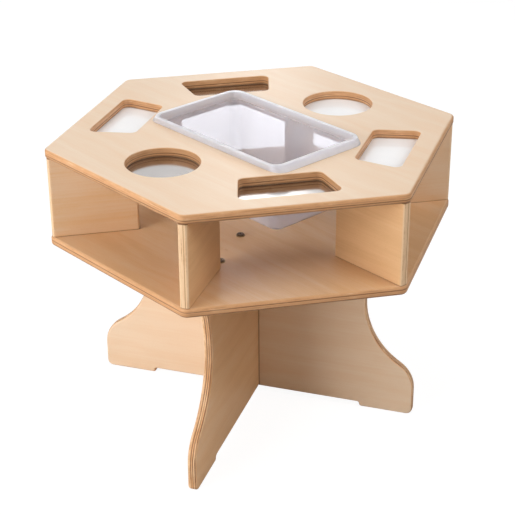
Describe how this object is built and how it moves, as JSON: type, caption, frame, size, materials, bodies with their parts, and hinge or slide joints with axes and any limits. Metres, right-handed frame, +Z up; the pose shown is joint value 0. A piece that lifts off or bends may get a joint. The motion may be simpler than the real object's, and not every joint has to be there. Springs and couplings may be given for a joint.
{
  "type": "activity table",
  "caption": "Hexagonal children's activity table in birch ply with mirror and whiteboard wells, open shelf compartments, a lift-out clear tray and crossed leg boards.",
  "frame": {"origin": "on the floor under the table's axis", "axes": "+Z up, +X through a corner of the hexagon and along the tray's length, -Y towards the round mirror well"},
  "size_m": [0.8444, 0.7362, 0.618],
  "materials": {
    "birch_ply": "clear satin lacquer",
    "mirror_sheet": "polished",
    "white_sheet": "gloss dry-wipe",
    "clear_plastic": "moulded, slightly milky",
    "zinc_steel": "zinc plated",
    "dowel_beech": "bare"
  },
  "bodies": {
    "table": {"table_top": "birch_ply", "shelf": "birch_ply", "long_leg": "birch_ply", "short_leg": "birch_ply", "divider_right": "birch_ply", "divider_back_right": "birch_ply", "divider_back_left": "birch_ply", "divider_left": "birch_ply", "divider_front_left": "birch_ply", "divider_front_right": "birch_ply", "mirror_front_right": "mirror_sheet", "mirror_back_left": "mirror_sheet", "mirror_front": "mirror_sheet", "whiteboard_back_right": "white_sheet", "whiteboard_front_left": "white_sheet", "whiteboard_back": "white_sheet", "top_dowels": "dowel_beech", "divider_screws": "zinc_steel", "floor_screws": "zinc_steel", "shelf_bolts": "zinc_steel", "bolt_washers": "zinc_steel", "barrel_nuts": "zinc_steel"},
    "tray": {"tray": "clear_plastic"}
  },
  "joints": [
    {"name": "tray_lift", "type": "slide", "parent": "table", "child": "tray", "axis": [0, 0, 1], "range_m": [0, 0.16]}
  ]
}
